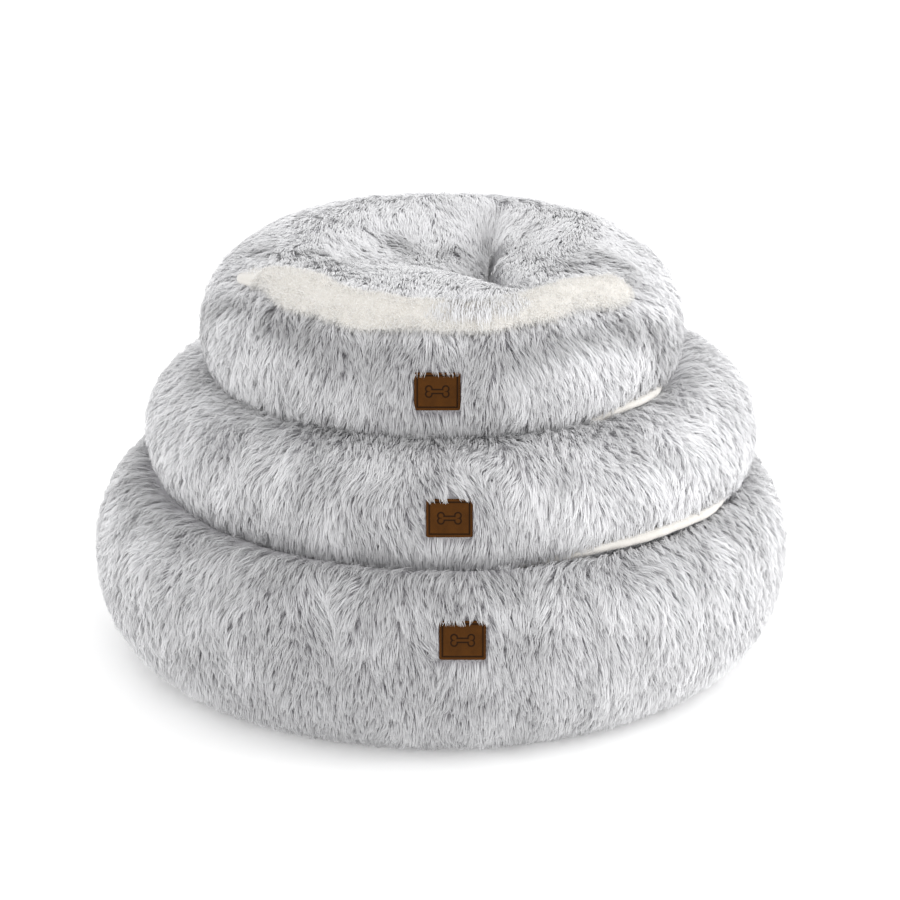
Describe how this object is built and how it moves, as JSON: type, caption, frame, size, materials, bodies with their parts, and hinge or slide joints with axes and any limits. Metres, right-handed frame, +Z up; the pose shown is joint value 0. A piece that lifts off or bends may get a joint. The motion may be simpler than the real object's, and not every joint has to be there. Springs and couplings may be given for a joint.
{
  "type": "nested set of round hooded pet beds",
  "caption": "Round faux-fur pet beds with plush-lined hoods, nested by size into one stack; the upper beds lift off and the top hood folds back.",
  "frame": {"origin": "on the floor, under the middle of the large bed", "axes": "+Z up; the labels face -Y; +X to the right of someone who faces the labels"},
  "size_m": [0.786, 0.7896, 0.4648],
  "materials": {
    "fur": "shaggy white faux fur with grey roots",
    "plush": "short cream plush",
    "fibre": "loose polyester fibre",
    "base_cloth": "woven cloth with rubber dots",
    "leather": "matt brown, engraved",
    "zip_tape": "woven",
    "zip_metal": "satin"
  },
  "bodies": {
    "large_bed": {"large_base_panel": "base_cloth", "large_bolster_cover": "fur", "large_bolster_fill": "fibre", "large_pad_cover": "plush", "large_pad_fill": "fibre", "large_hood": "fur", "large_hood_lining": "plush", "large_hood_hem": "plush", "large_label": "leather", "large_zip_upper_tape": "zip_tape", "large_zip_lower_tape": "zip_tape", "large_zip_upper_teeth": "zip_metal", "large_zip_lower_teeth": "zip_metal", "large_zip_left_stop": "zip_metal", "large_zip_right_stop": "zip_metal"},
    "medium_bed": {"medium_base_panel": "base_cloth", "medium_bolster_cover": "fur", "medium_bolster_fill": "fibre", "medium_pad_cover": "plush", "medium_pad_fill": "fibre", "medium_hood": "fur", "medium_hood_lining": "plush", "medium_hood_hem": "plush", "medium_label": "leather", "medium_zip_upper_tape": "zip_tape", "medium_zip_lower_tape": "zip_tape", "medium_zip_upper_teeth": "zip_metal", "medium_zip_lower_teeth": "zip_metal", "medium_zip_left_stop": "zip_metal", "medium_zip_right_stop": "zip_metal"},
    "small_bed": {"small_base_panel": "base_cloth", "small_bolster_cover": "fur", "small_bolster_fill": "fibre", "small_pad_cover": "plush", "small_pad_fill": "fibre", "small_hood_back": "fur", "small_hood_back_lining": "plush", "small_label": "leather", "small_zip_upper_tape": "zip_tape", "small_zip_lower_tape": "zip_tape", "small_zip_upper_teeth": "zip_metal", "small_zip_lower_teeth": "zip_metal", "small_zip_left_stop": "zip_metal", "small_zip_right_stop": "zip_metal"},
    "small_hood": {"small_hood_flap": "fur", "small_hood_flap_lining": "plush", "small_hood_hem": "plush"},
    "large_zip_slider": {"large_zip_slider": "zip_metal"},
    "large_zip_pull": {"large_zip_pull": "zip_metal"},
    "medium_zip_slider": {"medium_zip_slider": "zip_metal"},
    "medium_zip_pull": {"medium_zip_pull": "zip_metal"},
    "small_zip_slider": {"small_zip_slider": "zip_metal"},
    "small_zip_pull": {"small_zip_pull": "zip_metal"}
  },
  "joints": [
    {"name": "medium_bed_lift", "type": "slide", "parent": "large_bed", "child": "medium_bed", "axis": [0, 0, 1], "range_m": [0, 0.3]},
    {"name": "small_bed_lift", "type": "slide", "parent": "medium_bed", "child": "small_bed", "axis": [0, 0, 1], "range_m": [0, 0.3]},
    {"name": "small_hood_fold", "type": "hinge", "parent": "small_bed", "child": "small_hood", "pos_m": [0.001, 0.004, 0.4652], "axis": [-1, 0, 0], "range_deg": [0, 110]},
    {"name": "large_zip_run", "type": "hinge", "parent": "large_bed", "child": "large_zip_slider", "pos_m": [0, 0, 0.1115], "axis": [0, 0, -1], "range_deg": [0, 61]},
    {"name": "large_zip_pull_swing", "type": "hinge", "parent": "large_zip_slider", "child": "large_zip_pull", "pos_m": [-0.20261, 0.34338, 0.1115], "axis": [0.8613, 0.5082, 0], "range_deg": [0, 150]},
    {"name": "medium_zip_run", "type": "hinge", "parent": "medium_bed", "child": "medium_zip_slider", "pos_m": [0.012, 0.013, 0.253], "axis": [0, 0, -1], "range_deg": [0, 60.6]},
    {"name": "medium_zip_pull_swing", "type": "hinge", "parent": "medium_zip_slider", "child": "medium_zip_pull", "pos_m": [-0.16514, 0.31567, 0.253], "axis": [0.863, 0.5051, 0], "range_deg": [0, 150]},
    {"name": "small_zip_run", "type": "hinge", "parent": "small_bed", "child": "small_zip_slider", "pos_m": [0.001, 0.004, 0.376], "axis": [0, 0, -1], "range_deg": [0, 59.7]},
    {"name": "small_zip_pull_swing", "type": "hinge", "parent": "small_zip_slider", "child": "small_zip_pull", "pos_m": [-0.13528, 0.24136, 0.376], "axis": [0.8672, 0.4979, 0], "range_deg": [0, 150]}
  ]
}
